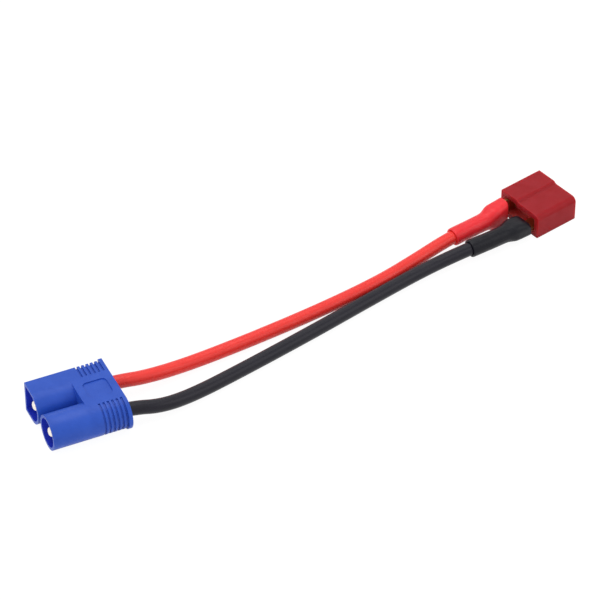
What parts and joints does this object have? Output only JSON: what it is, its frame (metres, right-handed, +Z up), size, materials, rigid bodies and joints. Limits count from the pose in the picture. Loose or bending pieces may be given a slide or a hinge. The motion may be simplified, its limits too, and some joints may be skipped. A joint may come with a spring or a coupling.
{
  "type": "battery adapter cable",
  "caption": "Short power adapter cable: flat plug with recessed bullet pins in D and round shrouds, red and black silicone wires, heat-shrink sleeves and a blade socket.",
  "frame": {"origin": "middle of the flat base of the plug's rear block, on the standing surface", "axes": "+X along the plug's axis from its mouth towards the wires and socket, +Y towards the positive pole, +Z up"},
  "size_m": [0.1763, 0.0483, 0.0101],
  "materials": {
    "plug_blue": "satin moulded nylon",
    "contact_gold": "gold plated",
    "spring_gold": "gold plated spring bronze",
    "tinned_copper": "tinned copper strands",
    "solder": "soft solder",
    "red_silicone": "smooth silicone",
    "black_silicone": "smooth silicone",
    "red_shrink": "shrunk sleeve",
    "black_shrink": "shrunk sleeve",
    "socket_red": "moulded nylon",
    "plate_brass": "plated brass"
  },
  "bodies": {
    "root": {"plug_housing": "plug_blue", "positive_bullet_pin": "contact_gold", "negative_bullet_pin": "contact_gold", "positive_spring_cage": "spring_gold", "negative_spring_cage": "spring_gold", "positive_cup_strands": "tinned_copper", "negative_cup_strands": "tinned_copper", "positive_cup_solder": "solder", "negative_cup_solder": "solder", "red_wire": "red_silicone", "black_wire": "black_silicone", "red_heat_shrink": "red_shrink", "black_heat_shrink": "black_shrink", "positive_tab_strands": "tinned_copper", "negative_tab_strands": "tinned_copper", "positive_tab_solder": "solder", "negative_tab_solder": "solder", "positive_contact_plate": "plate_brass", "negative_contact_plate": "plate_brass", "socket_housing": "socket_red"}
  },
  "joints": []
}
